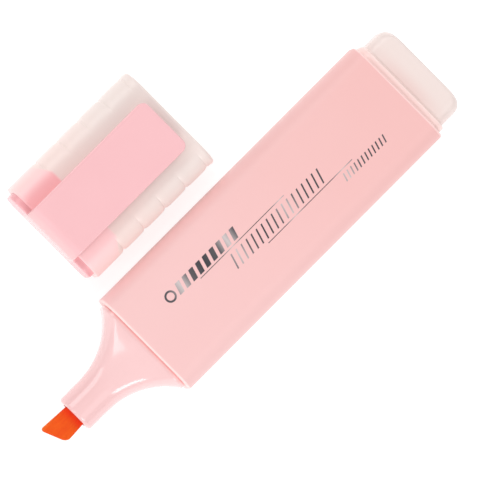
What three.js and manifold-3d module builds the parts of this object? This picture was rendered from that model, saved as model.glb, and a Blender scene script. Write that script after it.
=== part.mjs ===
// A flat-bodied highlighter with a chisel nib, lying on a table with its cap off and set down beside it.
// Millimetres, +Z up. X runs along the pen from the nib to the rear plug, and Y points towards the cap.
// The origin is the centre of the barrel's flat underside.
import * as THREE from "three";
import { mergeVertices } from "three/addons/utils/BufferGeometryUtils.js";
import Module from "manifold-3d";

const wasm = await Module();
wasm.setup();

// Overall section, shared by the barrel and the cap so that they are flush when the pen is closed.
const penWidth = 25;
const penHeight = 15.5;
const penCorner = 4.2;

// Barrel.
const barrelLength = 71.8;
const barrelWall = 1.5;
const barrelEdge = 0.35;
const ribThickness = 1.2;
const ribInset = 1;
const topRibSpread = 9.6;

// Nose cone. The shoulder is inset so that the cap's wall can pass over it.
const neckDiameter = 8.4;
const neckLength = 5.5;
const flareLength = 13.5;
const shoulderRim = 0.8;
const noseWall = 1.5;
const neckEdge = 0.35;
const slotLength = 9.2;

// Spigots of the nose cone and of the rear plug, both inside the barrel.
const spigotLength = 7;
const spigotWall = 1.2;
const spigotClearance = 0.1;
const seatGap = 0.05;

// Nib.
const nibWidth = 5.6;
const nibThickness = 3.6;
const nibReach = 7.15;
const nibSlant = 2.2;
const nibTaper = 0.15;
const nibCorner = 0.8;
const nibEdge = 0.2;
const nibTail = 8;
const nibPoint = 2.6;
const nibClearance = 0.06;

// Ink reservoir and the film around it.
const filmWall = 0.2;
const filmClearance = 0.1;
const reservoirClearance = 0.15;
const reservoirStop = 0.9;

// Rear plug.
const flangeInset = 0.9;
const flangeThickness = 1.4;
const flangeEdge = 0.5;
const tongueInset = 1.5;
const tongueLength = 6;
const tonguePlanRound = 2.6;
const tongueSideRound = 1.1;
const tongueCorner = 3;
const plugWall = 1.2;
const finThickness = 0.9;
const finSpread = 8;

// Cap shell.
const capLength = 33.05;
const capWall = 1.1;
const capClearance = 0.1;
const capEdge = 0.4;
const grooveCount = 5;
const grooveStart = 7.65;
const groovePitch = 5.875;
const grooveDepth = 0.25;
const grooveHalf = 0.5;

// Cap end plug, with the leg that carries the clip.
const endPlugClearance = 0.25;
const endPlugProud = 0.65;
const endPlugDepth = 8.2;
const endPlugFloor = 1.5;
const endPlugWall = 1.15;
const endPlugEdge = 0.4;
const socketRib = 1.2;
const socketDepth = 5;
const legProud = 1.15;
const legDrop = 6;
const legToe = 1.2;

// Clip. Its root is the bend, which gives like a hinge.
const clipWidth = 12.9;
const clipThickness = 1.5;
const clipGap = 1.6;
const clipBend = 3;
const clipStop = 2.05;
const clipCorner = 1.6;
const clipRootCorner = 0.8;
const clipTipRound = 0.5;
const hingeGap = 0.3;
const padLength = 2.4;
const padSlope = 0.8;
const padBack = 1.1;
const padGap = 0.35;

// Inner seal: a cup that takes the neck and keeps the nib from drying.
const sealClearance = 0.1;
const sealWall = 0.8;
const sealFloor = 0.8;
const sealGrip = 4.8;
const sealLeadIn = 0.3;
const socketClearance = 0.15;

// Where the cap lies: clear of the barrel's side, its closed end a little behind the barrel's front.
const laneGap = 3.75;
const capBehindFront = 2.8;

// Fineness of the curves.
const cornerSteps = 8;
const edgeSteps = 3;
const flareSteps = 14;
const roundSides = 40;
const leastFlat = 0.04;

// Sizes that follow from the ones above.
const boreWidth = penWidth - 2 * barrelWall;
const boreHeight = penHeight - 2 * barrelWall;
const boreCorner = penCorner - barrelWall;
const capBoreWidth = penWidth - 2 * capWall;
const capBoreHeight = penHeight - 2 * capWall;
const capBoreCorner = penCorner - capWall;
const shoulderWidth = capBoreWidth - 2 * capClearance;
const shoulderHeight = capBoreHeight - 2 * capClearance;
const shoulderCorner = capBoreCorner - capClearance;
const spigotWidth = boreWidth - 2 * spigotClearance;
const spigotHeight = boreHeight - 2 * spigotClearance;
const spigotCorner = boreCorner - spigotClearance;
const filmWidth = spigotWidth - 2 * spigotWall - 2 * reservoirClearance;
const filmHeight = spigotHeight - 2 * spigotWall - 2 * reservoirClearance;
const reservoirWidth = filmWidth - 2 * filmWall - 2 * filmClearance;
const reservoirHeight = filmHeight - 2 * filmWall - 2 * filmClearance;
const endPlugWidth = capBoreWidth - 2 * endPlugClearance;
const endPlugHeight = capBoreHeight - 2 * endPlugClearance;
const sealRadius = neckDiameter / 2 + sealClearance + sealWall;
const neckTip = -(shoulderRim + flareLength + neckLength);
const plugFace = barrelLength + seatGap + flangeThickness;

// A rounded rectangle across X, w wide and h high, anticlockwise seen from +X.
function outline({ w, h, r }) {
  const round = Math.max(leastFlat, Math.min(r, w / 2 - leastFlat, h / 2 - leastFlat));
  const points = [];
  for (let corner = 0; corner < 4; corner++) {
    const sideY = corner === 0 || corner === 3 ? 1 : -1;
    const sideZ = corner < 2 ? 1 : -1;
    for (let step = 0; step <= cornerSteps; step++) {
      const angle = ((corner + step / cornerSteps) * Math.PI) / 2;
      const y = sideY * (w / 2 - round) + round * Math.cos(angle);
      const z = sideZ * (h / 2 - round) + round * Math.sin(angle);
      points.push([y, z]);
    }
  }
  return points;
}

// A closed skin through rounded rectangles, given in order of rising x.
function loft(sections) {
  const loops = sections.map((section) => outline(section).map(([y, z]) => [section.x, y, z]));
  const count = loops[0].length;
  const last = (loops.length - 1) * count;
  const index = [];
  for (let ring = 0; ring < loops.length - 1; ring++) {
    for (let i = 0; i < count; i++) {
      const a = ring * count + i;
      const b = ring * count + ((i + 1) % count);
      index.push(a, b, a + count, b, b + count, a + count);
    }
  }
  for (let i = 1; i < count - 1; i++) {
    index.push(0, i + 1, i);
    index.push(last, last + i, last + i + 1);
  }
  const geometry = new THREE.BufferGeometry();
  geometry.setAttribute("position", new THREE.Float32BufferAttribute(loops.flat(2), 3));
  geometry.setIndex(index);
  return geometry;
}

// Sections of a straight bar whose end edges are rounded, by front and rear: [in plan, in side view].
function bar({ x0, x1, w, h, r, front = [0, 0], rear = [0, 0] }) {
  const section = (x, [plan, side], angle) => {
    const off = 1 - Math.sin(angle);
    const inset = Math.min(plan, side) * off;
    return { x, w: w - 2 * plan * off, h: h - 2 * side * off, r: r - inset };
  };
  const sections = [];
  for (let step = 0; step <= edgeSteps; step++) {
    const angle = ((step / edgeSteps) * Math.PI) / 2;
    if (front[0] > 0) sections.push(section(x0 + front[0] * (1 - Math.cos(angle)), front, angle));
  }
  if (front[0] === 0) sections.push({ x: x0, w, h, r });
  for (let step = edgeSteps; step >= 0; step--) {
    const angle = ((step / edgeSteps) * Math.PI) / 2;
    if (rear[0] > 0) sections.push(section(x1 - rear[0] * (1 - Math.cos(angle)), rear, angle));
  }
  if (rear[0] === 0) sections.push({ x: x1, w, h, r });
  return sections;
}

function block(x0, x1, y0, y1, z0, z1) {
  const geometry = new THREE.BoxGeometry(x1 - x0, y1 - y0, z1 - z0);
  return geometry.translate((x0 + x1) / 2, (y0 + y1) / 2, (z0 + z1) / 2);
}

function toSolid(geometry) {
  const bare = geometry.clone();
  bare.deleteAttribute("normal");
  bare.deleteAttribute("uv");
  const merged = mergeVertices(bare);
  const vertProperties = merged.attributes.position.array;
  const triVerts = new Uint32Array(merged.index.array);
  return new wasm.Manifold(new wasm.Mesh({ numProp: 3, vertProperties, triVerts }));
}

function toGeometry(solid) {
  const mesh = solid.getMesh();
  const geometry = new THREE.BufferGeometry();
  geometry.setAttribute("position", new THREE.BufferAttribute(mesh.vertProperties, 3));
  geometry.setIndex(new THREE.BufferAttribute(mesh.triVerts, 1));
  return geometry;
}

function cut(geometry, ...tools) {
  return toGeometry(tools.reduce((solid, tool) => solid.subtract(toSolid(tool)), toSolid(geometry)));
}

function join(geometry, ...others) {
  return toGeometry(others.reduce((solid, other) => solid.add(toSolid(other)), toSolid(geometry)));
}

// A body turned about the X axis, from a profile of [x, radius] points.
function turned(profile) {
  const points = profile.map(([x, radius]) => new THREE.Vector2(radius, x));
  return new THREE.LatheGeometry(points, roundSides).rotateZ(-Math.PI / 2);
}

// The barrel is a straight sleeve with ribs inside that hold the reservoir away from its walls.
function barrel() {
  const edge = [barrelEdge, barrelEdge];
  const skin = bar({
    x0: 0,
    x1: barrelLength,
    w: penWidth,
    h: penHeight,
    r: penCorner,
    front: edge,
    rear: edge,
  });
  const bore = bar({ x0: -1, x1: barrelLength + 1, w: boreWidth, h: boreHeight, r: boreCorner });
  const x0 = spigotLength + ribInset;
  const x1 = barrelLength - spigotLength - ribInset;
  const half = ribThickness / 2;
  const reachY = filmWidth / 2 + reservoirClearance;
  const reachZ = filmHeight / 2 + reservoirClearance;
  const wallY = (boreWidth + barrelWall) / 2;
  const wallZ = (boreHeight + barrelWall) / 2;
  const ribs = [block(x0, x1, reachY, wallY, -half, half), block(x0, x1, -wallY, -reachY, -half, half)];
  for (const y of [-topRibSpread / 2, topRibSpread / 2]) {
    ribs.push(block(x0, x1, y - half, y + half, reachZ, wallZ));
    ribs.push(block(x0, x1, y - half, y + half, -wallZ, -reachZ));
  }
  return join(cut(loft(skin), loft(bore)), ...ribs);
}

// Half of the nose cone's growth from the neck, on an arc that leaves the neck tangentially.
function arcRise(rise, along) {
  const radius = (flareLength ** 2 + rise ** 2) / (2 * rise);
  return radius - Math.sqrt(radius ** 2 - along ** 2);
}

// Nose sections from the end of the neck to the shoulder, moved inwards by inset.
function flare(inset) {
  const sections = [];
  for (let step = 0; step <= flareSteps; step++) {
    const share = step / flareSteps;
    const along = share * flareLength;
    const w = neckDiameter + 2 * arcRise((shoulderWidth - neckDiameter) / 2, along);
    const h = neckDiameter + 2 * arcRise((shoulderHeight - neckDiameter) / 2, along);
    const r = THREE.MathUtils.lerp(neckDiameter / 2, shoulderCorner, share ** 0.7);
    const x = -shoulderRim - flareLength + along;
    sections.push({ x, w: w - 2 * inset, h: h - 2 * inset, r: r - inset });
  }
  return sections;
}

// The slot that grips the nib runs through the neck, and the flare behind it is cored out.
function noseCone() {
  const neck = { w: neckDiameter, h: neckDiameter, r: neckDiameter / 2 };
  const tip = bar({ x0: neckTip, x1: neckTip + 1, ...neck, front: [neckEdge, neckEdge] });
  const rim = { w: shoulderWidth, h: shoulderHeight, r: shoulderCorner };
  const spigot = { w: spigotWidth, h: spigotHeight, r: spigotCorner };
  const skin = [
    ...tip,
    ...flare(0),
    { x: -seatGap, ...rim },
    { x: -seatGap, ...spigot },
    { x: spigotLength, ...spigot },
  ];
  const seat = {
    w: spigotWidth - 2 * spigotWall,
    h: spigotHeight - 2 * spigotWall,
    r: spigotCorner - spigotWall,
  };
  const pocket = loft(bar({ x0: reservoirStop, x1: spigotLength + 1, ...seat }));
  const slotEnd = neckTip + slotLength;
  const core = flare(noseWall).filter((section) => section.x > slotEnd);
  const mouth = core[core.length - 1];
  core.push({ ...mouth, x: reservoirStop + 0.5 });
  const fit = 2 * nibClearance;
  const slot = { w: nibWidth + fit, h: nibThickness + fit, r: nibEdge };
  const channel = loft(bar({ x0: neckTip - 1, x1: reservoirStop + 1, ...slot }));
  return cut(loft(skin), pocket, loft(core), channel);
}

// The nib's plan has a slanted writing end, and its tail is a point inside the reservoir.
function nib() {
  const half = nibWidth / 2;
  const tip = neckTip - nibReach;
  const heel = tip + nibSlant;
  const tail = reservoirStop + nibTail;
  const plan = new THREE.Shape();
  plan.moveTo(heel + nibCorner, -half + nibTaper);
  plan.lineTo(neckTip, -half);
  plan.lineTo(tail - nibPoint, -half);
  plan.lineTo(tail, 0);
  plan.lineTo(tail - nibPoint, half);
  plan.lineTo(neckTip, half);
  plan.lineTo(tip + nibCorner, half - nibTaper);
  plan.quadraticCurveTo(tip, half - nibTaper, tip + nibSlant * 0.12, half - nibTaper - nibCorner);
  plan.lineTo(heel - nibSlant * 0.12, -half + nibTaper + nibCorner);
  plan.quadraticCurveTo(heel, -half + nibTaper, heel + nibCorner, -half + nibTaper);
  const geometry = new THREE.ExtrudeGeometry(plan, {
    depth: nibThickness - 2 * nibEdge,
    bevelSize: nibEdge,
    bevelOffset: -nibEdge,
    bevelThickness: nibEdge,
    bevelSegments: edgeSteps,
    curveSegments: 6,
  });
  return geometry.translate(0, 0, nibEdge - nibThickness / 2);
}

// The reservoir runs from its stop in the nose to the fins of the rear plug.
function reservoirEnd() {
  return barrelLength + seatGap;
}

function inkReservoir() {
  const body = { w: reservoirWidth, h: reservoirHeight, r: reservoirHeight / 2 };
  const x0 = reservoirStop + reservoirClearance;
  const skin = bar({ x0, x1: reservoirEnd(), ...body, front: [0.6, 0.6], rear: [0.6, 0.6] });
  const gap = 2 * filmClearance;
  const hole = { w: nibWidth + gap, h: nibThickness + gap, r: nibEdge };
  const x1 = reservoirStop + nibTail + filmClearance;
  return cut(loft(skin), loft(bar({ x0: 0, x1, ...hole })));
}

function reservoirFilm() {
  const x0 = reservoirStop + 2 * reservoirClearance;
  const x1 = reservoirEnd() - reservoirClearance;
  const outer = { w: filmWidth, h: filmHeight, r: filmHeight / 2 };
  const inner = {
    w: filmWidth - 2 * filmWall,
    h: filmHeight - 2 * filmWall,
    r: filmHeight / 2 - filmWall,
  };
  return cut(loft(bar({ x0, x1, ...outer })), loft(bar({ x0: x0 - 1, x1: x1 + 1, ...inner })));
}

// The rear plug is a cup: spigot, flange against the barrel, and the tongue that the cap posts on.
function rearPlug() {
  const spigot = { w: spigotWidth, h: spigotHeight, r: spigotCorner };
  const flange = {
    w: penWidth - 2 * flangeInset,
    h: penHeight - 2 * flangeInset,
    r: penCorner - flangeInset,
  };
  const tongue = {
    w: penWidth - 2 * tongueInset,
    h: penHeight - 2 * tongueInset,
    r: tongueCorner,
  };
  const tongueEnd = plugFace + tongueLength;
  const face = barrelLength + seatGap;
  const skin = [
    { x: barrelLength - spigotLength, ...spigot },
    { x: face, ...spigot },
    ...bar({ x0: face, x1: plugFace, ...flange, rear: [flangeEdge, flangeEdge] }),
    ...bar({
      x0: plugFace,
      x1: tongueEnd,
      ...tongue,
      rear: [tonguePlanRound, tongueSideRound],
    }),
  ];
  const hollowWidth = Math.min(spigot.w - 2 * spigotWall, tongue.w - 2 * plugWall);
  const hollowHeight = Math.min(spigot.h - 2 * spigotWall, tongue.h - 2 * plugWall);
  const hollow = bar({
    x0: barrelLength - spigotLength - 1,
    x1: tongueEnd - plugWall,
    w: hollowWidth,
    h: hollowHeight,
    r: spigotCorner - spigotWall,
    rear: [plugWall, plugWall / 2],
  });
  const cup = cut(loft(skin), loft(hollow));
  const fins = [-finSpread / 2, finSpread / 2].map((y) =>
    block(
      reservoirEnd() + reservoirClearance,
      tongueEnd - plugWall / 2,
      y - finThickness / 2,
      y + finThickness / 2,
      -(hollowHeight + plugWall) / 2,
      (hollowHeight + plugWall) / 2,
    ),
  );
  return join(cup, ...fins);
}

// The cap shell is a sleeve, open at both ends, with shallow grooves round it.
function capShell() {
  const body = { w: penWidth, h: penHeight, r: penCorner };
  const ends = bar({
    x0: 0,
    x1: capLength,
    ...body,
    front: [2 * capEdge, capEdge],
    rear: [capEdge, capEdge],
  });
  const grooves = [];
  for (let i = 0; i < grooveCount; i++) {
    const x = grooveStart + i * groovePitch;
    grooves.push({ x: x - grooveHalf, ...body });
    grooves.push({
      x,
      w: penWidth - 2 * grooveDepth,
      h: penHeight - 2 * grooveDepth,
      r: penCorner - grooveDepth,
    });
    grooves.push({ x: x + grooveHalf, ...body });
  }
  const half = ends.length / 2;
  const skin = [...ends.slice(0, half), ...grooves, ...ends.slice(half)];
  const bore = { w: capBoreWidth, h: capBoreHeight, r: capBoreCorner };
  return cut(loft(skin), loft(bar({ x0: -1, x1: capLength + 1, ...bore })));
}

const legOuter = -endPlugProud - legProud;
const sealStart = endPlugFloor - endPlugProud + seatGap;

// The end plug closes the shell, holds the inner seal between two ribs and carries the clip's leg.
function capEndPlug() {
  const body = {
    w: endPlugWidth,
    h: endPlugHeight,
    r: capBoreCorner - endPlugClearance,
  };
  const edge = [endPlugEdge, endPlugEdge];
  const skin = bar({ x0: -endPlugProud, x1: endPlugDepth, ...body, front: edge });
  const floor = endPlugFloor - endPlugProud;
  const hollow = {
    w: body.w - 2 * endPlugWall,
    h: body.h - 2 * endPlugWall,
    r: body.r - endPlugWall,
  };
  const cup = cut(loft(skin), loft(bar({ x0: floor, x1: endPlugDepth + 1, ...hollow })));
  const socket = sealRadius + socketClearance;
  const top = (body.h - endPlugWall) / 2;
  const ribs = [-1, 1].map((side) => {
    const near = side * (socket - socketRib / 2);
    const far = side * (socket + socketRib);
    return block(floor - 0.5, floor + socketDepth, Math.min(near, far), Math.max(near, far), -top, top);
  });
  const bored = turned([
    [floor, 0],
    [floor, socket],
    [endPlugDepth + 1, socket],
    [endPlugDepth + 1, 0],
  ]);
  const side = new THREE.Shape();
  const legTop = endPlugHeight / 2;
  side.moveTo(legOuter, legTop);
  side.lineTo(legOuter, legTop - legDrop + legToe);
  side.lineTo(-endPlugProud, legTop - legDrop);
  side.lineTo(-endPlugProud + 0.5, legTop - legDrop);
  side.lineTo(-endPlugProud + 0.5, legTop - endPlugEdge);
  side.lineTo(-endPlugProud, legTop);
  const leg = acrossClip(side);
  return join(cut(join(cup, ...ribs), bored), leg);
}

// A side view, x against z, given the clip's width.
function acrossClip(shape) {
  const geometry = new THREE.ExtrudeGeometry(shape, {
    depth: clipWidth,
    bevelEnabled: false,
    curveSegments: 10,
  });
  return geometry.rotateX(Math.PI / 2).translate(0, clipWidth / 2, 0);
}

// The clip's arm, bent over the cap's closed end. Its root is a round knuckle just above the leg,
// and a pad under its free end grips a pocket or a sheet.
function capClip() {
  const pivotX = legOuter + clipThickness / 2;
  const pivotZ = endPlugHeight / 2 + hingeGap + clipThickness / 2;
  const under = penHeight / 2 + clipGap;
  const top = under + clipThickness;
  const bendX = legOuter + clipBend;
  const bendZ = top - clipBend;
  const end = capLength - clipStop;
  const padTop = penHeight / 2 + padGap;
  const padEnd = end - padBack;
  const padStart = padEnd - padLength;
  const side = new THREE.Shape();
  side.moveTo(pivotX + clipThickness / 2, pivotZ);
  side.absarc(pivotX, pivotZ, clipThickness / 2, 0, -Math.PI, true);
  side.absarc(bendX, bendZ, clipBend, Math.PI, Math.PI / 2, true);
  side.absarc(end - clipTipRound, top - clipTipRound, clipTipRound, Math.PI / 2, 0, true);
  side.absarc(end - clipTipRound, under + clipTipRound, clipTipRound, 0, -Math.PI / 2, true);
  side.lineTo(padEnd, under);
  side.lineTo(padEnd - padSlope, padTop);
  side.lineTo(padStart + padSlope, padTop);
  side.lineTo(padStart, under);
  side.absarc(bendX, bendZ, clipBend - clipThickness, Math.PI / 2, Math.PI, false);
  const arm = toSolid(acrossClip(side));
  const half = clipWidth / 2;
  const plan = new THREE.Shape();
  plan.absarc(end - clipCorner, half - clipCorner, clipCorner, 0, Math.PI / 2, false);
  const rootX = legOuter + clipRootCorner;
  plan.absarc(rootX, half - clipRootCorner, clipRootCorner, Math.PI / 2, Math.PI, false);
  plan.absarc(rootX, clipRootCorner - half, clipRootCorner, Math.PI, Math.PI * 1.5, false);
  plan.absarc(end - clipCorner, clipCorner - half, clipCorner, -Math.PI / 2, 0, false);
  const column = new THREE.ExtrudeGeometry(plan, {
    depth: penHeight,
    bevelEnabled: false,
    curveSegments: 8,
  });
  return toGeometry(arm.intersect(toSolid(column)));
}

function capInnerSeal() {
  const inner = sealRadius - sealWall;
  const mouth = capLength + neckTip + sealGrip;
  return turned([
    [sealStart, 0],
    [sealStart, sealRadius],
    [mouth, sealRadius],
    [mouth, inner + sealLeadIn],
    [mouth - sealLeadIn, inner],
    [sealStart + sealFloor, inner],
    [sealStart + sealFloor, 0],
  ]);
}

const finishes = {
  barrel: { color: 0xf9c8c5, roughness: 0.45, metalness: 0 },
  nose_cone: { color: 0xf9d0cf, roughness: 0.15, metalness: 0 },
  nib: { color: 0xf0591f, roughness: 0.95, metalness: 0 },
  ink_reservoir: { color: 0xf4a06a, roughness: 1, metalness: 0 },
  reservoir_film: { color: 0xf2efe9, roughness: 0.2, metalness: 0 },
  rear_plug: { color: 0xf3e6e0, roughness: 0.3, metalness: 0 },
  cap_shell: { color: 0xf0e2de, roughness: 0.35, metalness: 0 },
  cap_end_plug: { color: 0xf8c3c4, roughness: 0.3, metalness: 0 },
  cap_clip: { color: 0xf8c4c8, roughness: 0.3, metalness: 0 },
  cap_inner_seal: { color: 0xf4f1ec, roughness: 0.4, metalness: 0 },
};

function piece(name, geometry) {
  const mesh = new THREE.Mesh(geometry, new THREE.MeshStandardMaterial(finishes[name]));
  mesh.name = name;
  return mesh;
}

const pen = new THREE.Group();
pen.add(
  piece("barrel", barrel()),
  piece("nose_cone", noseCone()),
  piece("nib", nib()),
  piece("ink_reservoir", inkReservoir()),
  piece("reservoir_film", reservoirFilm()),
  piece("rear_plug", rearPlug()),
);

const cap = new THREE.Group();
cap.add(
  piece("cap_shell", capShell()),
  piece("cap_end_plug", capEndPlug()),
  piece("cap_clip", capClip()),
  piece("cap_inner_seal", capInnerSeal()),
);
cap.position.set(capBehindFront, penWidth + laneGap, 0);

const highlighter = new THREE.Group();
highlighter.add(pen, cap);
highlighter.children.forEach((group) => {
  group.position.x -= barrelLength / 2;
  group.position.z += penHeight / 2;
});

export default highlighter;
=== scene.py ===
import math

import bmesh
import bpy
from mathutils import Matrix, Vector


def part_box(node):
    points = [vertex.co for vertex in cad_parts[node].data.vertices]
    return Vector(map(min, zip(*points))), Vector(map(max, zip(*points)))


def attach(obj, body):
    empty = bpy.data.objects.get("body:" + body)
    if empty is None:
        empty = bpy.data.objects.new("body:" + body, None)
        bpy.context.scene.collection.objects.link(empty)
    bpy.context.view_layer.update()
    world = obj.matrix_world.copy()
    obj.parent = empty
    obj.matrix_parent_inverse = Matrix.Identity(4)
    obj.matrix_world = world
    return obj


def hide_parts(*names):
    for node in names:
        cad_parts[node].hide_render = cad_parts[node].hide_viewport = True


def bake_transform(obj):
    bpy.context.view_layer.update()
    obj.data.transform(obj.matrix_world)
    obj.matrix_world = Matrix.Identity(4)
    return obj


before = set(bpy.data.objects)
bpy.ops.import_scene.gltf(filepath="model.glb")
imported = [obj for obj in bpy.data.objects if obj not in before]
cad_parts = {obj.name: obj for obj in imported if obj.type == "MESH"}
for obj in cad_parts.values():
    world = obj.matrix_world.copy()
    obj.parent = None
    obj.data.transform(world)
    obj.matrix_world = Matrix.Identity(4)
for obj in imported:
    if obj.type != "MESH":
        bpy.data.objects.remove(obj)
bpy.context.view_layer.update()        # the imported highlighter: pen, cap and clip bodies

mm = 0.001
near = 2e-6              # places closer together than this count as one
weldDistance = 1e-6
axisX, axisY, axisZ = 0, 1, 2
white = 1, 1, 1, 1

# where the CAD says things are
barrelLow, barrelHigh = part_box("barrel")
noseLow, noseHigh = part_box("nose_cone")
nibLow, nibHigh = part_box("nib")
plugLow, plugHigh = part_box("rear_plug")
shellLow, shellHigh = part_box("cap_shell")
endLow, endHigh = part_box("cap_end_plug")
clipLow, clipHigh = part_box("cap_clip")
sealLow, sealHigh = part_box("cap_inner_seal")
penAxis = (barrelLow + barrelHigh) / 2
capAxis = (shellLow + shellHigh) / 2


# small helpers for working in edit mode

def selectNothing():
    for thing in bpy.context.selected_objects:
        thing.select_set(False)


def makeActive(piece):
    selectNothing()
    piece.select_set(True)
    bpy.context.view_layer.objects.active = piece


def keepInPlace(name):
    # the place, turn and size of a new primitive go into its mesh
    piece = bpy.context.object
    piece.name = name
    bpy.ops.object.transform_apply(location=True, rotation=True, scale=True)
    return piece


def addBlock(name, low, high):
    selectNothing()
    low, high = Vector(low), Vector(high)
    bpy.ops.mesh.primitive_cube_add(size=1, location=(low + high) / 2)
    bpy.context.object.scale = high - low
    return keepInPlace(name)


def addRod(name, start, end, centre, radius, sides):
    # a cylinder along X
    selectNothing()
    place = (start + end) / 2, centre.y, centre.z
    bpy.ops.mesh.primitive_cylinder_add(
        vertices=sides, radius=radius, depth=end - start, location=place, rotation=(0, math.pi / 2, 0)
    )
    return keepInPlace(name)


def edit(piece):
    makeActive(piece)
    bpy.ops.object.mode_set(mode="EDIT")


def leaveEdit():
    bpy.ops.object.mode_set(mode="OBJECT")


def pick(kind, test):
    # selects the corners, edges or faces whose points pass the test
    bpy.ops.mesh.select_mode(type=kind)
    bpy.ops.mesh.select_all(action="DESELECT")
    data = bpy.context.edit_object.data
    mesh = bmesh.from_edit_mesh(data)
    for part in {"VERT": mesh.verts, "EDGE": mesh.edges, "FACE": mesh.faces}[kind]:
        points = [part.co] if kind == "VERT" else [corner.co for corner in part.verts]
        if test(points):
            part.select_set(True)
    mesh.select_flush_mode()
    bmesh.update_edit_mesh(data)


def acrossX(*places):
    return lambda points: any(all(abs(p.x - x) < near for p in points) for x in places)


def acrossZ(place):
    return lambda points: all(abs(p.z - place) < near for p in points)


def alongAxis(axis, least):
    return lambda points: abs(points[0][axis] - points[1][axis]) > least


def push(x=0, y=0, z=0):
    bpy.ops.mesh.extrude_region_move(TRANSFORM_OT_translate={"value": (x, y, z)})


def cutAcross(x):
    bpy.ops.mesh.select_all(action="SELECT")
    bpy.ops.mesh.bisect(plane_co=(x, 0, 0), plane_no=(1, 0, 0))


def applyModifier(piece, kind, settings):
    makeActive(piece)
    modifier = piece.modifiers.new(kind.lower(), kind)
    for name, value in settings.items():
        setattr(modifier, name, value)
    bpy.ops.object.modifier_apply(modifier=modifier.name)


def smooth(piece, degrees=32):
    makeActive(piece)
    bpy.ops.object.shade_smooth_by_angle(angle=math.radians(degrees))
    applyModifier(piece, "WEIGHTED_NORMAL", {"keep_sharp": True, "weight": 60})


def addBar(name, low, high, corner, steps=12):
    # a block along X with its four long edges rounded, left in edit mode
    edit(addBlock(name, low, high))
    pick("EDGE", alongAxis(axisX, least=0.1 * mm))
    bpy.ops.mesh.bevel(offset=corner, segments=steps, affect="EDGES")
    return bpy.context.edit_object


def faceOut():
    bpy.ops.mesh.select_all(action="SELECT")
    bpy.ops.mesh.remove_doubles(threshold=weldDistance)
    bpy.ops.mesh.normals_make_consistent(inside=False)


def roundRim(x, radius, steps=4):
    pick("EDGE", acrossX(x))
    bpy.ops.mesh.bevel(offset=radius, segments=steps, affect="EDGES")


def drawOut(half, sideRound, topRound, steps):
    # an end face is drawn out along X in short steps, each a little smaller, so that the end is round
    ahead, size = 0, half
    for step in range(1, steps + 1):
        angle = math.pi / 2 * step / steps
        nextAhead = sideRound * math.sin(angle)
        late = max(0, nextAhead - sideRound + topRound) / topRound
        sideLoss = sideRound * (1 - math.cos(angle))
        topLoss = topRound * (1 - math.sqrt(1 - min(1, late) ** 2))
        nextSize = half[0] - sideLoss, half[1] - topLoss
        push(x=nextAhead - ahead)
        bpy.ops.transform.resize(value=(1, nextSize[0] / size[0], nextSize[1] / size[1]))
        ahead, size = nextAhead, nextSize


def settle(piece, body, slot, finish, *nodes):
    piece.data.materials.clear()
    piece.data.materials.append(finish)
    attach(piece, body)
    if nodes:
        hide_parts(*nodes)


class Signal:
    # one output of a shader node, which Python's operators can work on
    def __init__(self, tree, socket):
        self.tree = tree
        self.socket = socket

    def maths(self, operation, first, second):
        node = self.tree.nodes.new("ShaderNodeMath")
        node.operation = operation
        for place, value in enumerate((first, second)):
            if isinstance(value, Signal):
                self.tree.links.new(value.socket, node.inputs[place])
            else:
                node.inputs[place].default_value = value
        return Signal(self.tree, node.outputs[0])

    def __add__(self, other):
        return self.maths("ADD", self, other)

    def __sub__(self, other):
        return self.maths("SUBTRACT", self, other)

    def __rsub__(self, other):
        return self.maths("SUBTRACT", other, self)

    def __mul__(self, other):
        return self.maths("MULTIPLY", self, other)

    def __abs__(self):
        return self.maths("ABSOLUTE", self, 0)

    def atLeast(self, value):
        return self.maths("MAXIMUM", self, value)

    __radd__ = __add__


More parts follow.
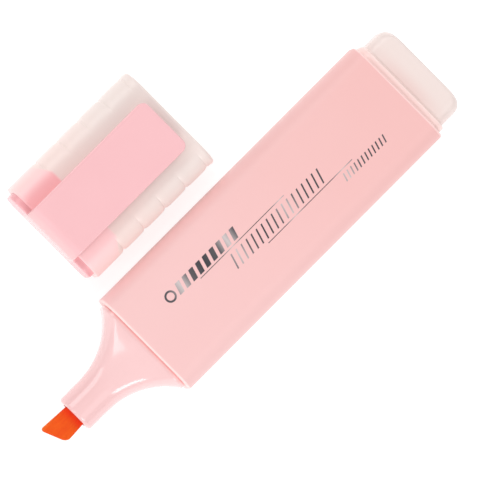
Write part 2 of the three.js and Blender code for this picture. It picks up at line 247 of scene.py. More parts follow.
class Finish:
    # one material: the main shader's fixed values, and the nodes that vary over the surface
    def __init__(self, name, fixed):
        self.material = bpy.data.materials.new(name)
        self.material.use_nodes = True
        self.tree = self.material.node_tree
        self.shader = next(n for n in self.tree.nodes if n.type == "BSDF_PRINCIPLED")
        for socket, value in fixed.items():
            self.shader.inputs[socket].default_value = value
        self.place = self.node("ShaderNodeTexCoord", {}, {}, "Object")

    def node(self, kind, settings, values, output=0):
        node = self.tree.nodes.new(kind)
        for name, value in settings.items():
            if name == "stops":
                self.setStops(node.color_ramp, value)
            else:
                setattr(node, name, value)
        for socket, value in values.items():
            if isinstance(value, Signal):
                self.tree.links.new(value.socket, node.inputs[socket])
            else:
                node.inputs[socket].default_value = value
        return Signal(self.tree, node.outputs[output])

    def setStops(self, ramp, stops):
        while len(ramp.elements) < len(stops):
            ramp.elements.new(0.5)
        for element, (position, colour) in zip(ramp.elements, stops):
            element.position = position
            element.color = colour

    def stretched(self, scale):
        # object coordinates with each axis scaled, so that a pattern runs along a piece
        return self.node("ShaderNodeMapping", {}, {"Vector": self.place, "Scale": scale})

    def noise(self, scale, detail=2.0, roughness=0.5, place=None):
        values = {
            "Vector": place or self.place,
            "Scale": scale,
            "Detail": detail,
            "Roughness": roughness,
        }
        return self.node("ShaderNodeTexNoise", {}, values)

    def along(self, axis):
        # where a point lies on one axis, in metres
        return self.node("ShaderNodeSeparateXYZ", {}, {"Vector": self.place}, axis)

    def fade(self, value, start, end):
        # 0 before start, 1 after end, and a soft step between them
        values = {"Value": value, "From Min": start, "From Max": end}
        return self.node("ShaderNodeMapRange", {"interpolation_type": "SMOOTHSTEP"}, values)

    def mixColour(self, share, low, high):
        # low and high are 0 to 255 values, or the outcome of an earlier mix
        low, high = (tone if isinstance(tone, Signal) else colour(*tone) for tone in (low, high))
        # the mix node has its colours at inputs 6 and 7 and output 2
        return self.node("ShaderNodeMix", {"data_type": "RGBA"}, {0: share, 6: low, 7: high}, 2)

    def bump(self, height, strength, distance):
        values = {"Height": height, "Strength": strength, "Distance": distance}
        return self.node("ShaderNodeBump", {}, values)

    def feed(self, **sockets):
        names = {"colour": "Base Color", "roughness": "Roughness", "normal": "Normal"}
        for name, signal in sockets.items():
            self.tree.links.new(signal.socket, self.shader.inputs[names[name]])
        return self.material


def colour(red, green, blue):
    # from the usual 0 to 255 values to the shader's linear ones
    def linear(value):
        share = value / 255
        return share / 12.92 if share <= 0.04045 else ((share + 0.055) / 1.055) ** 2.4

    return linear(red), linear(green), linear(blue), 1.0


cameraLook = {
    "aim": (-7.29 * mm, 1.26 * mm, 7.75 * mm),
    "distance": 1.6,
    "across": 96.2 * mm,       # width of the picture at the pen
    "turn": 45.0,              # the pen's angle on the picture, in degrees
    "leanAlong": 4.5,          # the camera stands off the vertical towards the nib
    "leanAcross": 3.0,         # and towards the cap
    "sensor": 36,
    "nearest": 0.05,           # what lies outside these two distances isn't drawn
    "farthest": 20,
}


def makeCamera():
    look = cameraLook
    lean = math.tan(math.radians(look["leanAlong"])), math.tan(math.radians(look["leanAcross"]))
    back = Vector((-lean[0], lean[1], 1)).normalized()
    turn = math.radians(look["turn"])
    up = Vector((math.sin(turn), math.cos(turn), 0))
    up = (up - back * up.dot(back)).normalized()
    right = up.cross(back)
    lens = bpy.data.cameras.new("camera")
    lens.sensor_width = look["sensor"]
    lens.lens = look["sensor"] * look["distance"] / look["across"]
    lens.clip_start = look["nearest"]
    lens.clip_end = look["farthest"]
    camera = bpy.data.objects.new("camera", lens)
    bpy.context.scene.collection.objects.link(camera)
    place = Vector(look["aim"]) + back * look["distance"]
    turned = Matrix((right, up, back)).transposed()
    camera.matrix_world = Matrix.Translation(place) @ turned.to_4x4()
    bpy.context.scene.camera = camera


lightLook = {
    "sky": 0.48,
    "lamps": [
        # name, place, width, height, power
        ("nearLamp", (0.12, -0.5, 0.7), 0.5, 0.5, 0.6),
        ("farLamp", (-0.65, 0.165, 0.55), 0.2, 0.6, 1.25),
        ("noseLamp", (-0.386, -0.572, 0.459), 0.46, 0.3, 2.75),
        ("frontLamp", (-0.8, 0.1, 0.13), 0.5, 0.12, 0.2),
        ("sideLamp", (0.1, 0.65, 0.55), 1.0, 0.4, 2.75),
        ("rearLamp", (0.65, 0.15, 0.6), 0.4, 0.4, 1.3),
    ],
}


def makeLights():
    world = bpy.data.worlds.new("studio")
    world.use_nodes = True
    sky = next(n for n in world.node_tree.nodes if n.type == "BACKGROUND")
    sky.inputs["Color"].default_value = white
    sky.inputs["Strength"].default_value = lightLook["sky"]
    bpy.context.scene.world = world
    for name, place, width, height, power in lightLook["lamps"]:
        lamp = bpy.data.lights.new(name, "AREA")
        lamp.shape = "RECTANGLE"
        lamp.size = width
        lamp.size_y = height
        lamp.energy = power
        holder = bpy.data.objects.new(name, lamp)
        holder.location = place
        holder.rotation_mode = "QUATERNION"
        holder.rotation_quaternion = (-Vector(place)).to_track_quat("-Z", "Y")
        bpy.context.scene.collection.objects.link(holder)
    bpy.context.scene.view_settings.view_transform = "Standard"


floorLook = {
    "size": 6,
    "drop": 0.02 * mm,         # the floor lies this far below the pieces
    "finish": {
        "Base Color": (0.42, 0.42, 0.42, 1),
        "Roughness": 0.9,
        "Emission Color": white,
        "Emission Strength": 0.7,
    },
}


def makeFloor():
    selectNothing()
    bpy.ops.mesh.primitive_plane_add(size=floorLook["size"], location=(0, 0, -floorLook["drop"]))
    floor = keepInPlace("floor")
    floor.data.materials.append(Finish("floorPaper", floorLook["finish"]).material)


# In the looks below a mask is full at the place that ends in Full and gone at the one that ends in Gone.
# A share says how much of its colour a mask adds where it is full.

satinLook = {
    # painted shade: the barrel darkens towards the rear, where less light falls
    "front": (237, 194, 193),
    "rear": (236, 184, 181),
    "cloudShare": 0.3,
    # painted highlight along the barrel's front and rear rims
    "rim": (255, 222, 219),
    "rimHighlightShare": 0.8,
    "rimHighlightFull": 0.2 * mm,
    "rimHighlightGone": 0.55 * mm,
    "roughness": 0.4,
    "unevenness": 0.08,
}


def satinPink():
    look = satinLook
    finish = Finish("satinPink", {"IOR": 1.45})
    x = finish.along(axisX)
    cloud = finish.noise(scale=60, detail=3) * look["cloudShare"]
    # painted shade: darker towards the rear
    shadeTowardsRear = finish.fade(x, barrelLow.x, barrelHigh.x) * (1 - look["cloudShare"])
    tone = finish.mixColour(cloud + shadeTowardsRear, look["front"], look["rear"])
    # painted highlight on the front and rear rims
    frontRimHighlight = finish.fade(x, barrelLow.x + look["rimHighlightGone"], barrelLow.x + look["rimHighlightFull"])
    rearRimHighlight = finish.fade(x, barrelHigh.x - look["rimHighlightGone"], barrelHigh.x - look["rimHighlightFull"])
    tone = finish.mixColour((frontRimHighlight + rearRimHighlight) * look["rimHighlightShare"], tone, look["rim"])
    grain = finish.noise(scale=5200, detail=2, roughness=0.6)
    return finish.feed(
        colour=tone,
        roughness=look["roughness"] + finish.noise(scale=180, detail=2) * look["unevenness"],
        normal=finish.bump(grain, strength=0.12, distance=0.02 * mm),
    )


glossLook = {
    "deep": (236, 194, 194),
    "pale": (241, 200, 200),
    # painted shade: the nose is a little darker towards its neck
    "neck": (234, 182, 181),
    "neckShadeShare": 0.2,
    "neckFull": 4 * mm,        # behind the mouth of the nose
    "neckGone": 7 * mm,        # ahead of the barrel
    # painted shadow in the groove where the nose meets the barrel
    "seamShadow": (235, 160, 156),
    "seamShadowFull": 0.1 * mm,
    "seamShadowGone": 0.45 * mm,
    "roughness": 0.13,
    "unevenness": 0.08,
}


def glossPink():
    look = glossLook
    finish = Finish("glossPink", {"IOR": 1.48, "Coat Weight": 0.5, "Coat Roughness": 0.06})
    x = finish.along(axisX)
    flow = finish.noise(scale=1, detail=3, place=finish.stretched((40, 160, 160)))
    tone = finish.mixColour(flow, look["deep"], look["pale"])
    # painted shade towards the neck
    shadeTowardsNeck = finish.fade(x, barrelLow.x - look["neckGone"], noseLow.x + look["neckFull"])
    tone = finish.mixColour(shadeTowardsNeck * look["neckShadeShare"], tone, look["neck"])
    # painted shadow in the groove ahead of the barrel
    inSeamShadow = finish.fade(x, barrelLow.x - look["seamShadowGone"], barrelLow.x - look["seamShadowFull"])
    tone = finish.mixColour(inSeamShadow, tone, look["seamShadow"])
    return finish.feed(
        colour=tone,
        roughness=look["roughness"] + flow * look["unevenness"],
        normal=finish.bump(finish.noise(scale=420, detail=2), strength=0.05, distance=0.02 * mm),
    )


clipLook = {
    "deep": (237, 183, 187),
    "pale": (241, 189, 193),
    "endFull": 1.2 * mm,
    "endGone": 2.1 * mm,
    # painted shade on the plug beside the clip, and a painted highlight on the bend
    "plug": (236, 168, 174),
    "plugShare": 0.7,
    "plugShadeFull": 0.3 * mm,      # beside the clip
    "bend": (240, 202, 201),
    "bendHighlightShare": 0.4,
    "roughness": 0.22,
    "unevenness": 0.06,
}


def clipPink():
    look = clipLook
    finish = Finish("clipPink", {"IOR": 1.47})
    x, side = finish.along(axisX), abs(finish.along(axisY) - capAxis.y)
    tone = finish.mixColour(finish.noise(scale=90, detail=3), look["deep"], look["pale"])
    # painted shade makes the plug beside the clip a deeper pink at the closed end, and a painted
    # highlight makes the plastic paler where it bends
    clipSide = clipHigh.y - capAxis.y
    atEnd = finish.fade(x, endLow.x + look["endGone"], endLow.x + look["endFull"])
    beside = finish.fade(side, clipSide, clipSide + look["plugShadeFull"])
    tone = finish.mixColour(atEnd * beside * look["plugShare"], tone, look["plug"])
    tone = finish.mixColour(atEnd * (1 - beside) * look["bendHighlightShare"], tone, look["bend"])
    return finish.feed(
        colour=tone,
        roughness=look["roughness"] + finish.noise(scale=240, detail=2) * look["unevenness"],
        normal=finish.bump(finish.noise(scale=3800, detail=2), strength=0.06, distance=0.02 * mm),
    )


feltLook = {
    "deep": (216, 44, 9),
    "bright": (238, 106, 28),
    "fibreShare": 0.6,
    # painted shade where the nib goes into the nose
    "mouth": (228, 38, 14),
    "mouthShadeShare": 0.7,
    "mouthFull": 0.2 * mm,     # ahead of the nose
    "mouthGone": 2.2 * mm,
    # paler orange along the nib's sides towards its tip
    "paleSides": (240, 128, 44),
    "paleSidesShare": 0.6,
    "paleSideFull": 2.9 * mm,
    "paleSideGone": 1.9 * mm,
    "paleTipFull": 1 * mm,    # behind the tip
    "paleTipGone": 2 * mm,    # ahead of the nose
    "roughness": 0.7,
    "unevenness": 0.25,
    "fuzz": 0.6,
}


def inkedFelt():
    look = feltLook
    finish = Finish("inkedFelt", {"IOR": 1.4, "Specular IOR Level": 0.25})
    x, side = finish.along(axisX), abs(finish.along(axisY))
    fibres = finish.noise(scale=1, detail=6, roughness=0.65, place=finish.stretched((260, 2600, 2600)))
    wet = finish.noise(scale=420, detail=3)
    mixed = fibres * look["fibreShare"] + wet * (1 - look["fibreShare"])
    tone = finish.mixColour(mixed, look["deep"], look["bright"])
    # painted shade in the nose's mouth
    shadeInMouth = finish.fade(x, noseLow.x - look["mouthGone"], noseLow.x - look["mouthFull"])
    tone = finish.mixColour(shadeInMouth * look["mouthShadeShare"], tone, look["mouth"])
    # paler along the sides, more towards the tip
    paleSides = finish.fade(side, look["paleSideGone"], look["paleSideFull"])
    paleSides = paleSides * finish.fade(x, noseLow.x - look["paleTipGone"], nibLow.x + look["paleTipFull"])
    tone = finish.mixColour(paleSides * look["paleSidesShare"], tone, look["paleSides"])
    fuzz = fibres + finish.noise(scale=5200, detail=3) * look["fuzz"]
    return finish.feed(
        colour=tone,
        roughness=look["roughness"] + fibres * look["unevenness"],
        normal=finish.bump(fuzz, strength=0.6, distance=0.08 * mm),
    )


milkyLook = {
    "glowTone": (240, 226, 222),
    "unevenness": 0.06,
}


def frosted(name, look):
    # milky plastic that lets a little of what is behind it through
    fixed = {
        "IOR": 1.46,
        "Transmission Weight": look["clearness"],
        # the glow stands for light that wanders about inside the plastic and lifts its shadows
        "Emission Color": colour(*milkyLook["glowTone"]),
        "Emission Strength": look["glow"],
    }
    finish = Finish(name, fixed)
    finish.cloud = finish.noise(scale=70, detail=3)
    finish.grain = finish.bump(finish.noise(scale=4200, detail=2), strength=0.08, distance=0.02 * mm)
    finish.gloss = look["roughness"] + finish.cloud * milkyLook["unevenness"]
    return finish


frostedPlugLook = {
    "clearness": 0.1,
    "glow": 0.04,
    "roughness": 0.2,
    "deep": (236, 219, 214),
    "pale": (240, 225, 220),
    "ink": (232, 194, 189),
    "inkGone": 3.6 * mm,       # behind the flange
    "inkShare": 0.2,
    "inkMiddleShare": 0.35,
    "inkMiddleFull": 2 * mm,
    "inkMiddleGone": 9.5 * mm,
    # the flange is pink partly for the pink behind it showing through, and partly as painted light
    # lifting the shade beside the barrel's end
    "flange": (255, 222, 217),
    "flangeShare": 0.9,
    "flangeFull": 0.1 * mm,    # ahead of the flange's end
    "flangeGone": 0.15 * mm,   # behind it
    # painted light: a pale line where the flange meets the tongue lifts the shade in that corner
    "edge": (255, 234, 229),
    "edgeLightShare": 0.5,
    "edgeLightFull": 0.1 * mm,
    "edgeLightGone": 0.4 * mm,
}


def frostedPlug():
    look = frostedPlugLook
    finish = frosted("frostedPlug", look)
    x, side = finish.along(axisX), abs(finish.along(axisY))
    flangeEnd = barrelHigh.x + plugShape["flange"]
    tone = finish.mixColour(finish.cloud, look["deep"], look["pale"])
    # the inked reservoir glows through beside the barrel, most in the middle
    middle = finish.fade(side, look["inkMiddleGone"], look["inkMiddleFull"])
    ink = finish.fade(x, flangeEnd + look["inkGone"], flangeEnd)
    inkShare = look["inkShare"] + middle * look["inkMiddleShare"]
    tone = finish.mixColour(ink * inkShare, tone, look["ink"])
    # painted light on the flange, over the pink that shows through
    flange = finish.fade(x, flangeEnd + look["flangeGone"], flangeEnd - look["flangeFull"])
    tone = finish.mixColour(flange * look["flangeShare"], tone, look["flange"])
    # painted light along the flange's end
    fromEdge = abs(x - (flangeEnd - look["flangeFull"]))
    edge = finish.fade(fromEdge, look["edgeLightGone"], look["edgeLightFull"])
    tone = finish.mixColour(edge * look["edgeLightShare"], tone, look["edge"])
    return finish.feed(colour=tone, roughness=finish.gloss, normal=finish.grain)


frostedShellLook = {
    "clearness": 0.12,
    "glow": 0.15,
    "roughness": 0.3,
    "deep": (221, 207, 202),
    "pale": (226, 214, 209),
    "blush": (236, 206, 200),
    "blushShare": 0.5,
    "blushGone": 6 * mm,       # inside the mouth
    "plug": (248, 198, 202),
    "plugEdge": 0.35 * mm,
    "plugRound": 9 * mm,       # beyond this the plug's edge curves back
    "plugCurve": 0.6,
    "plugShare": 0.35,
    "plugInnerShare": 0.6,
    "plugInnerFull": 7.6 * mm,
    "plugInnerGone": 13 * mm,
    # painted shadow of the clip on the shell, on one side of it
    "root": (240, 154, 160),
    "rootShare": 0.8,
    "rootSideFull": 7.6 * mm,
    "rootSideGone": 11.4 * mm,
    "rootMiddleFull": 6 * mm,
}


def frostedShell():
    look = frostedShellLook
    finish = frosted("frostedShell", look)
    x, y = finish.along(axisX), finish.along(axisY) - capAxis.y
    side = abs(y)
    tone = finish.mixColour(finish.cloud, look["deep"], look["pale"])
    blush = finish.fade(x, shellHigh.x - look["blushGone"], endHigh.x)
    tone = finish.mixColour(blush * look["blushShare"], tone, look["blush"])
    # the pink end plug shows through as far as it reaches into the shell, more strongly towards the
    # middle, and a deep red painted shadow of the clip lies beside the clip on one side
    reach = (side - look["plugRound"]).atLeast(0) * look["plugCurve"]
    behind = finish.fade(x + reach, endHigh.x + look["plugEdge"], endHigh.x - look["plugEdge"])
    inner = finish.fade(side, look["plugInnerGone"], look["plugInnerFull"])
    plugShare = look["plugShare"] + inner * look["plugInnerShare"]
    tone = finish.mixColour(behind * plugShare, tone, look["plug"])
    # painted shadow of the clip, on one side of it only
    clipShadowMask = finish.fade(y, look["rootSideGone"], look["rootSideFull"])
    clipShadowMask = clipShadowMask * finish.fade(y, 0, look["rootMiddleFull"]) * behind
    tone = finish.mixColour(clipShadowMask * look["rootShare"], tone, look["root"])
    return finish.feed(colour=tone, roughness=finish.gloss, normal=finish.grain)


sealLook = {
    "deep": (236, 232, 225),
    "pale": (246, 243, 238),
    "roughness": 0.42,
    "unevenness": 0.1,
}


def naturalSeal():
    look = sealLook
    finish = Finish("naturalSeal", {"IOR": 1.5})
    cloud = finish.noise(scale=120, detail=3)
    return finish.feed(
        colour=finish.mixColour(cloud, look["deep"], look["pale"]),
        roughness=look["roughness"] + cloud * look["unevenness"],
        normal=finish.bump(finish.noise(scale=2600, detail=2), strength=0.06, distance=0.02 * mm),
    )


fibreLook = {
    "deep": (238, 140, 104),
    "pale": (250, 176, 140),
    "roughness": 0.75,
    "unevenness": 0.2,
}


def inkedFibre():
    look = fibreLook
    finish = Finish("inkedFibre", {"IOR": 1.4})
    strands = finish.noise(scale=1, detail=6, roughness=0.7, place=finish.stretched((90, 2400, 2400)))
    return finish.feed(
        colour=finish.mixColour(strands, look["deep"], look["pale"]),
        roughness=look["roughness"] + strands * look["unevenness"],
        normal=finish.bump(strands, strength=0.5, distance=0.06 * mm),
    )


filmLook = {
    "deep": (240, 236, 230),
    "pale": (252, 250, 246),
    "roughness": 0.12,
    "unevenness": 0.1,
}


def clearFilm():
    look = filmLook
    finish = Finish("clearFilm", {"IOR": 1.5, "Transmission Weight": 0.85})
    crease = finish.noise(scale=1, detail=3, place=finish.stretched((60, 500, 500)))
    return finish.feed(
        colour=finish.mixColour(crease, look["deep"], look["pale"]),
        roughness=look["roughness"] + crease * look["unevenness"],
        normal=finish.bump(crease, strength=0.1, distance=0.05 * mm),
    )


foilLook = {
    "stops": [(0.0, colour(56, 56, 62)), (0.6, colour(88, 84, 88)), (1.0, colour(204, 192, 192))],
    "waves": 148,              # the sheen turns between dark and bright this often in a metre
    "shift": 4.1,
    "wander": 0.8,
    "roughness": 0.3,
    "unevenness": 0.12,
}


def foilInk():
    look = foilLook
    finish = Finish("foilInk", {"IOR": 1.5})
    wave = finish.along(axisX) * look["waves"] + look["shift"]
    wave = wave + finish.noise(scale=30, detail=2) * look["wander"]
    sheen = finish.node("ShaderNodeMath", {"operation": "PINGPONG"}, {0: wave, 1: 1.0})
    return finish.feed(
        colour=finish.node("ShaderNodeValToRGB", {"stops": look["stops"]}, {"Fac": sheen}),
        roughness=look["roughness"] + finish.noise(scale=900, detail=2) * look["unevenness"],
    )


barrelShape = {"corner": 4.2 * mm, "wall": 1.5 * mm, "rim": 0.35 * mm}


def makeBarrel(finish):
    shape = barrelShape
    piece = addBar("barrelSleeve", barrelLow, barrelHigh, shape["corner"], steps=16)
    roundRim(barrelLow.x, shape["rim"])
    roundRim(barrelHigh.x, shape["rim"])
    pick("FACE", acrossX(barrelLow.x, barrelHigh.x))
    bpy.ops.mesh.inset(thickness=shape["wall"] - shape["rim"])
    bpy.ops.mesh.bridge_edge_loops()
    leaveEdit()
    smooth(piece)
    settle(piece, "pen", "barrel_plastic", finish, "barrel")


noseShape = {
    "neckRadius": 4.2 * mm,
    "flare": 13.5 * mm,
    "rim": 0.8 * mm,           # the straight part between the flare and the barrel
    "corner": 3.8 * mm,
    "cornerSteps": 12,
    "topCuts": 15,
    "sideCuts": 9,
    "rings": 48,
    "longEdge": 2.5 * mm,      # edges longer than this are cut
    "lip": 0.7 * mm,
    "shoulderEdge": 0.16 * mm,
    "slot": (5.72 * mm, 3.72 * mm),
    "slotDepth": 9 * mm,
    "slotAhead": 1 * mm,       # the cut starts this far outside the mouth
    "slotCorner": 0.3 * mm,
    "spigotInset": 0.4 * mm,
    "spigotWall": 1.2 * mm,
    "spigotDepth": 6.1 * mm,
}


def makeNose(finish):
    shape = noseShape
    shoulderX = barrelLow.x - shape["rim"]
    flareX = shoulderX - shape["flare"]
    low = shoulderX, noseLow.y, noseLow.z
    high = barrelLow.x, noseHigh.y, noseHigh.z
    piece = addBar("noseCone", low, high, shape["corner"], shape["cornerSteps"])
    pick("EDGE", alongAxis(axisY, least=shape["longEdge"]))
    bpy.ops.mesh.subdivide(number_cuts=shape["topCuts"])
    pick("EDGE", alongAxis(axisZ, least=shape["longEdge"]))
    bpy.ops.mesh.subdivide(number_cuts=shape["sideCuts"])
    leaveEdit()
    sides = 4 * shape["cornerSteps"] + 2 * (shape["topCuts"] + shape["sideCuts"] + 2)
    neck = addRod("neck", noseLow.x, flareX, penAxis, shape["neckRadius"], sides)
    makeActive(piece)
    neck.select_set(True)
    bpy.ops.object.join()
    edit(piece)
    pick("FACE", acrossX(shoulderX, flareX))
    bpy.ops.mesh.bridge_edge_loops(number_cuts=shape["rings"], interpolation="LINEAR")
    slideRings(flareX, shape["flare"], noseHigh.y - noseLow.y, shape["neckRadius"])
    roundRim(shoulderX, shape["shoulderEdge"], steps=3)
    roundRim(noseLow.x, shape["lip"], steps=5)
    pick("FACE", acrossX(barrelLow.x))
    bpy.ops.mesh.inset(thickness=shape["spigotInset"])
    push(x=noseHigh.x - barrelLow.x)
    bpy.ops.mesh.inset(thickness=shape["spigotWall"])
    push(x=-shape["spigotDepth"])
    leaveEdit()
    width, height = shape["slot"]
    low = noseLow.x - shape["slotAhead"], penAxis.y - width / 2, penAxis.z - height / 2
    high = noseLow.x + shape["slotDepth"], penAxis.y + width / 2, penAxis.z + height / 2
    slot = addBar("slot", low, high, shape["slotCorner"], steps=3)
    leaveEdit()
    applyModifier(piece, "BOOLEAN", {"operation": "DIFFERENCE", "object": slot, "solver": "EXACT"})
    bpy.data.objects.remove(slot)
    smooth(piece, degrees=34)
    settle(piece, "pen", "nose_plastic", finish, "nose_cone")


def slideRings(start, length, width, neckRadius):
    # the bridge makes evenly spaced rings; each moves along the pen to its place on the arc
    rise = width / 2 - neckRadius
    radius = (length ** 2 + rise ** 2) / (2 * rise)
    steps = noseShape["rings"] + 1
    for step in range(steps - 1, 0, -1):
        share = step / steps
        height = share * rise
        pick("VERT", acrossX(start + share * length))
        slide = math.sqrt(2 * radius * height - height ** 2) - share * length
        bpy.ops.transform.translate(value=(slide, 0, 0))


nibShape = {
    "slant": 2.2 * mm,
    "taper": 0.97,
    "corner": 0.95 * mm,
    "edge": 0.28 * mm,
    "tail": 0.25,
    "sharp": 50,               # edges sharper than this many degrees are rounded
}


def makeNib(finish):
    shape = nibShape
    piece = addBlock("nibFelt", nibLow, nibHigh)
    edit(piece)
    pick("VERT", acrossX(nibLow.x))
    bpy.ops.transform.resize(value=(1, shape["taper"], 1), center_override=penAxis)
    pick("VERT", lambda points: acrossX(nibLow.x)(points) and points[0].y < 0)
    bpy.ops.transform.translate(value=(shape["slant"], 0, 0))
    pick("VERT", acrossX(nibHigh.x))
    bpy.ops.transform.resize(value=(1, shape["tail"], 1), center_override=penAxis)
    upright = alongAxis(axisZ, least=1 * mm)
    pick("EDGE", lambda points: upright(points) and points[0].x < noseLow.x)
    bpy.ops.mesh.bevel(offset=shape["corner"], segments=6, affect="EDGES")
    bpy.ops.mesh.select_all(action="DESELECT")
    bpy.ops.mesh.edges_select_sharp(sharpness=math.radians(shape["sharp"]))
    bpy.ops.mesh.bevel(offset=shape["edge"], segments=4, affect="EDGES")
    leaveEdit()
    smooth(piece, degrees=40)
    settle(piece, "pen", "nib_felt", finish, "nib")


plugShape = {
    "flange": 1.45 * mm,
    "flangeCorner": 3.3 * mm,
    "flangeRim": 0.5 * mm,
    "flangeSize": (23.2 * mm, 13.7 * mm),
    "toTongue": 0.1 * mm,
    "tongueSideRound": 2.5 * mm,
    "tongueTopRound": 0.6 * mm,
    "spigotInset": 0.7 * mm,
    "wall": 1.2 * mm,
}


def makeRearPlug(finish):
    shape = plugShape
    width, height = shape["flangeSize"]
    startX, endX = barrelHigh.x, barrelHigh.x + shape["flange"]
    low = startX, penAxis.y - width / 2, penAxis.z - height / 2
    high = endX, penAxis.y + width / 2, penAxis.z + height / 2
    piece = addBar("rearPlug", low, high, shape["flangeCorner"])
    roundRim(endX, shape["flangeRim"])
    pick("FACE", acrossX(endX))
    bpy.ops.mesh.inset(thickness=shape["toTongue"])
    push(x=plugHigh.x - shape["tongueSideRound"] - endX)
    inset = shape["toTongue"] + shape["flangeRim"]
    half = width / 2 - inset, height / 2 - inset
    drawOut(half, shape["tongueSideRound"], shape["tongueTopRound"], steps=11)
    pick("FACE", acrossX(startX))
    bpy.ops.mesh.inset(thickness=shape["spigotInset"])
    push(x=plugLow.x - startX)
    bpy.ops.mesh.inset(thickness=shape["wall"])
    push(x=plugHigh.x - shape["wall"] - plugLow.x)
    leaveEdit()
    smooth(piece)
    settle(piece, "pen", "plug_plastic", finish, "rear_plug")


shellShape = {
    "corner": 4.2 * mm,
    "wall": 1.1 * mm,
    "rim": 0.35 * mm,
    "mouthRim": 0.6 * mm,
    "clearOfMouth": 0.72 * mm,  # no groove is cut closer to the mouth than this
    "grooves": 5,
    "firstGroove": 7.65 * mm,
    "pitch": 5.875 * mm,
    # distance from a groove's middle, and how deep the surface lies there, both in mm
    "groove": [(-1.3, 0.01), (-0.45, 0.08), (0.0, 0.38), (0.35, 0.12), (1.2, 0.01)],
    "topDepth": 0.12,          # the grooves keep this share of their depth on the top and the underside
}


def makeCapShell(finish):
    shape = shellShape
    piece = addBar("capShell", shellLow, shellHigh, shape["corner"], steps=14)
    roundRim(shellLow.x, shape["rim"])
    roundRim(shellHigh.x, shape["mouthRim"])
    width, height = shellHigh.y - shellLow.y, shellHigh.z - shellLow.z
    for number in range(shape["grooves"]):
        middle = shellLow.x + shape["firstGroove"] + number * shape["pitch"]
        places = [(middle + offset * mm, depth) for offset, depth in shape["groove"]]
        places = [(x, depth) for x, depth in places if x < shellHigh.x - shape["clearOfMouth"]]
        for x, depth in places:
            cutAcross(x)
        for x, depth in places:
            topDepth = depth * shape["topDepth"]
            shrink = 1, 1 - 2 * depth * mm / width, 1 - 2 * topDepth * mm / height
            pick("VERT", acrossX(x))
            bpy.ops.transform.resize(value=shrink, center_override=(x, capAxis.y, capAxis.z))
    pick("FACE", acrossX(shellLow.x))
    bpy.ops.mesh.inset(thickness=shape["wall"] - shape["rim"])
    pick("FACE", acrossX(shellHigh.x))
    bpy.ops.mesh.inset(thickness=shape["wall"] - shape["mouthRim"])
    # of the faces at the ends, the two inner ones have more than four corners
    atEnds = acrossX(shellLow.x, shellHigh.x)
    pick("FACE", lambda points: atEnds(points) and len(points) > 4)
    bpy.ops.mesh.bridge_edge_loops()
    leaveEdit()
    smooth(piece, degrees=24)
    settle(piece, "cap", "cap_plastic", finish, "cap_shell")


clipShape = {
    "legInset": 0.28 * mm,     # the leg's face lies this far inside the CAD's end face
    "legProud": 0.2 * mm,      # and stands this far out of the plug's face
    "snug": 0.2 * mm,          # the plug fills the shell's mouth a little closer than in the CAD
    "plugCorner": 2.85 * mm,
    "plugRim": 0.4 * mm,
    "plugWall": 1.15 * mm,
    "floor": 1.5 * mm,
    "thickness": 1.5 * mm,
    "bend": 3.0 * mm,
    "legDrop": 6.0 * mm,
    "tipCorner": 1.6 * mm,
    "edge": 0.32 * mm,
    "footEdge": 0.192 * mm,
    "padBack": 0.6 * mm,
    "padLength": 2.4 * mm,
    "padDepth": 1.25 * mm,
    "padLengthShare": 0.45,    # what the pad keeps of its length and its width at its foot
    "padWidthShare": 0.96,
}


def makeClipMoulding(finish):
    shape = clipShape
    faceX = endLow.x + shape["legInset"] + shape["legProud"]
    snug = Vector((0, shape["snug"], shape["snug"]))
    low, high = Vector((faceX, endLow.y, endLow.z)) - snug, endHigh + snug
    piece = addBar("capClipMoulding", low, high, shape["plugCorner"])
    roundRim(faceX, shape["plugRim"])
    pick("FACE", acrossX(endHigh.x))
    bpy.ops.mesh.inset(thickness=shape["plugWall"])
    push(x=faceX + shape["floor"] - endHigh.x)
    leaveEdit()
    arm = makeClipArm(shape)
    applyModifier(piece, "BOOLEAN", {"operation": "UNION", "object": arm, "solver": "EXACT"})
    bpy.data.objects.remove(arm)
    smooth(piece, degrees=34)
    settle(piece, "cap", "clip_plastic", finish, "cap_end_plug", "cap_clip")
    # the moulding leaves its body again, and its place goes into its mesh
    piece.parent = None
    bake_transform(piece)


def makeClipArm(shape):
    # a leg on the end plug's face, a bend spun from its top, and the arm drawn out of the bend
    legFace = endLow.x + shape["legInset"]
    bendX = legFace + shape["bend"]
    bendZ = clipHigh.z - shape["bend"]
    legFoot = endHigh.z - shape["legDrop"]
    low = legFace, clipLow.y, legFoot
    high = legFace + shape["thickness"], clipHigh.y, bendZ
    arm = addBlock("clipArm", low, high)
    edit(arm)
    pick("EDGE", alongAxis(axisZ, least=1 * mm))
    bpy.ops.mesh.bevel(offset=shape["edge"], segments=3, affect="EDGES")
    pick("EDGE", acrossZ(legFoot))
    bpy.ops.mesh.bevel(offset=shape["footEdge"], segments=2, affect="EDGES")
    pick("FACE", acrossZ(bendZ))
    # a negative angle turns the bend over the shell
    bpy.ops.mesh.spin(steps=12, angle=-math.pi / 2, center=(bendX, capAxis.y, bendZ), axis=(0, 1, 0))
    pick("FACE", acrossX(bendX))
    push(x=clipHigh.x - shape["tipCorner"] - bendX)
    half = (clipHigh.y - clipLow.y) / 2, shape["thickness"] / 2
    drawOut(half, shape["tipCorner"], shape["edge"], steps=9)
    makePad(shape)
    faceOut()
    leaveEdit()
    return arm


def makePad(shape):
    padEnd = clipHigh.x - shape["padBack"] - shape["tipCorner"] / 2
    padStart = padEnd - shape["padLength"]
    cutAcross(padStart)
    cutAcross(padEnd)
    under = acrossZ(clipHigh.z - shape["thickness"])
    between = lambda points: all(padStart - near < p.x < padEnd + near for p in points)
    pick("FACE", lambda points: under(points) and between(points))
    push(z=-shape["padDepth"])
    bpy.ops.transform.resize(value=(shape["padLengthShare"], shape["padWidthShare"], 1))


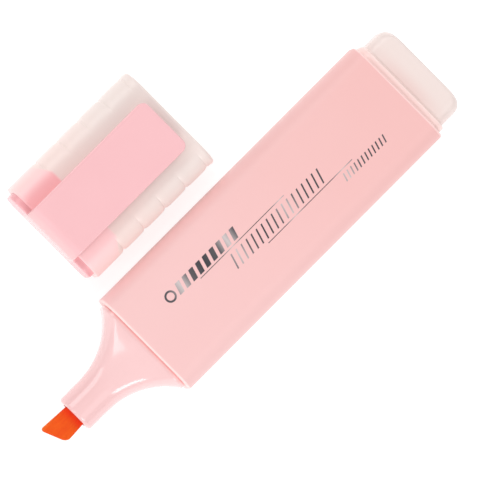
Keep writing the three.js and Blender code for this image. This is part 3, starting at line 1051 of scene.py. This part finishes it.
sealShape = {"wall": 0.8 * mm, "floor": 0.8 * mm, "rim": 0.2 * mm, "sides": 72}


def makeInnerSeal(finish):
    shape = sealShape
    radius = (sealHigh.z - sealLow.z) / 2
    piece = addRod("capInnerSeal", sealLow.x, sealHigh.x, capAxis, radius, shape["sides"])
    edit(piece)
    roundRim(sealHigh.x, shape["rim"], steps=3)
    pick("FACE", acrossX(sealHigh.x))
    bpy.ops.mesh.inset(thickness=shape["wall"] - 2 * shape["rim"])
    push(x=-shape["rim"])
    bpy.ops.mesh.inset(thickness=shape["rim"])
    push(x=sealLow.x + shape["floor"] - sealHigh.x + shape["rim"])
    leaveEdit()
    smooth(piece)
    settle(piece, "cap", "seal_plastic", finish, "cap_inner_seal")


foilShape = {
    "height": 0.02 * mm,
    "sunk": 0.03 * mm,
    "lean": 0.3,
    # all in mm: x from the barrel's front and y from the pen's axis
    # strokes: first x, y of the middle, length across, width, pitch, number
    "strokes": [
        (12.4, 3.5, 2.4, 1.15, 1.9, 9),
        (23.8, -0.6, 3.1, 0.34, 1.42, 18),
        (51.6, -4.4, 1.7, 0.3, 1.0, 12),
    ],
    # fine lines: x from and to, y
    "lines": [(17.0, 40.5, 1.8), (31.6, 55.3, -2.8)],
    "lineWidth": 0.14 * mm,
    # ring: x, y, radius, width
    "ring": (10.2, 3.5, 1.25, 0.42),
}


def addStroke(x, y, across, width, lean):
    low = x - width / 2, y - across / 2, barrelHigh.z - foilShape["sunk"]
    high = x + width / 2, y + across / 2, barrelHigh.z + foilShape["height"]
    stroke = addBlock("stroke", low, high)
    edit(stroke)
    pick("VERT", lambda points: points[0].y > y)
    bpy.ops.transform.translate(value=(lean * across, 0, 0))
    leaveEdit()
    return stroke


def makeFoil(finish):
    shape = foilShape
    made = []
    for firstX, y, across, width, pitch, number in shape["strokes"]:
        for count in range(number):
            x = barrelLow.x + (firstX + count * pitch) * mm
            made.append(addStroke(x, penAxis.y + y * mm, across * mm, width * mm, shape["lean"]))
    for startX, endX, y in shape["lines"]:
        middle = barrelLow.x + (startX + endX) / 2 * mm
        length = (endX - startX) * mm
        made.append(addStroke(middle, penAxis.y + y * mm, shape["lineWidth"], length, lean=0))
    made.append(makeRing(shape))
    makeActive(made[0])
    for stroke in made[1:]:
        stroke.select_set(True)
    bpy.ops.object.join()
    piece = bpy.context.object
    piece.name = "foilPattern"
    settle(piece, "pen", "barrel_plastic", finish)


def makeRing(shape):
    x, y, radius, width = (value * mm for value in shape["ring"])
    selectNothing()
    depth = shape["height"] + shape["sunk"]
    place = barrelLow.x + x, penAxis.y + y, barrelHigh.z + shape["height"] - depth / 2
    bpy.ops.mesh.primitive_cylinder_add(vertices=48, radius=radius, depth=depth, location=place)
    ring = keepInPlace("ring")
    edit(ring)
    # the two round faces have more than four corners
    pick("FACE", lambda points: len(points) > 4)
    bpy.ops.mesh.inset(thickness=width)
    bpy.ops.mesh.bridge_edge_loops()
    leaveEdit()
    return ring


makeCamera()
makeLights()
makeFloor()
print("camera, lights and floor ready")

makeBarrel(satinPink())
makeNose(glossPink())
makeNib(inkedFelt())
makeRearPlug(frostedPlug())
makeFoil(foilInk())
print("pen modelled")

makeCapShell(frostedShell())
makeClipMoulding(clipPink())
makeInnerSeal(naturalSeal())
print("cap modelled")

for node, finish in (("ink_reservoir", inkedFibre()), ("reservoir_film", clearFilm())):
    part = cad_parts[node]
    part.data.materials.clear()
    part.data.materials.append(finish)
print("reservoir finished")
